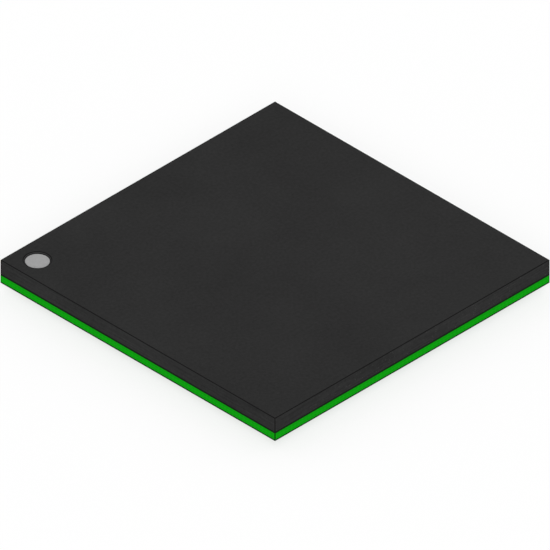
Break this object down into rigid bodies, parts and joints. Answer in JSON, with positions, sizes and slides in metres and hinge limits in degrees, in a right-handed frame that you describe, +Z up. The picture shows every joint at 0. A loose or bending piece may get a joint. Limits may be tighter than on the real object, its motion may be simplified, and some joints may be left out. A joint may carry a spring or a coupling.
{
  "type": "digital signal processor",
  "caption": "Digital signal processor in a square overmoulded ball grid array package, with a sunk index mark on top, a green laminate board and solder balls below.",
  "frame": {"origin": "centre of the ball grid on the seating plane, which the lowest points of the solder balls touch", "axes": "+Z up through the marked face; ball A1 and the index mark are in the corner at -X +Y; the lettered rows run along X from A at +Y, and the numbered columns count from -X"},
  "size_m": [0.017, 0.017, 0.0017],
  "materials": {
    "mould_compound": "matte",
    "index_ink": "matte",
    "silicon": "polished",
    "die_adhesive": "satin",
    "gold_wire": "polished",
    "copper": "satin",
    "laminate": "satin",
    "solder_mask": "satin",
    "solder": "satin"
  },
  "bodies": {
    "root": {"mould_cap": "mould_compound", "pin_one_mark": "index_ink", "silicon_die": "silicon", "die_attach": "die_adhesive", "bond_wires_right": "gold_wire", "bond_wires_back": "gold_wire", "bond_wires_left": "gold_wire", "bond_wires_front": "gold_wire", "bond_fingers_right": "copper", "bond_fingers_back": "copper", "bond_fingers_left": "copper", "bond_fingers_front": "copper", "die_pad": "copper", "ground_plane": "copper", "power_plane": "copper", "signal_vias": "copper", "ground_vias": "copper", "power_vias": "copper", "ball_lands": "copper", "upper_prepreg": "laminate", "core_laminate": "laminate", "lower_prepreg": "laminate", "top_solder_mask": "solder_mask", "bottom_solder_mask": "solder_mask", "solder_balls_row_a": "solder", "solder_balls_row_b": "solder", "solder_balls_row_c": "solder", "solder_balls_row_d": "solder", "solder_balls_row_e": "solder", "solder_balls_row_f": "solder", "solder_balls_row_g": "solder", "solder_balls_row_h": "solder", "solder_balls_row_j": "solder", "solder_balls_row_k": "solder", "solder_balls_row_l": "solder", "solder_balls_row_m": "solder", "solder_balls_row_n": "solder", "solder_balls_row_p": "solder", "solder_balls_row_r": "solder", "solder_balls_row_t": "solder"}
  },
  "joints": []
}
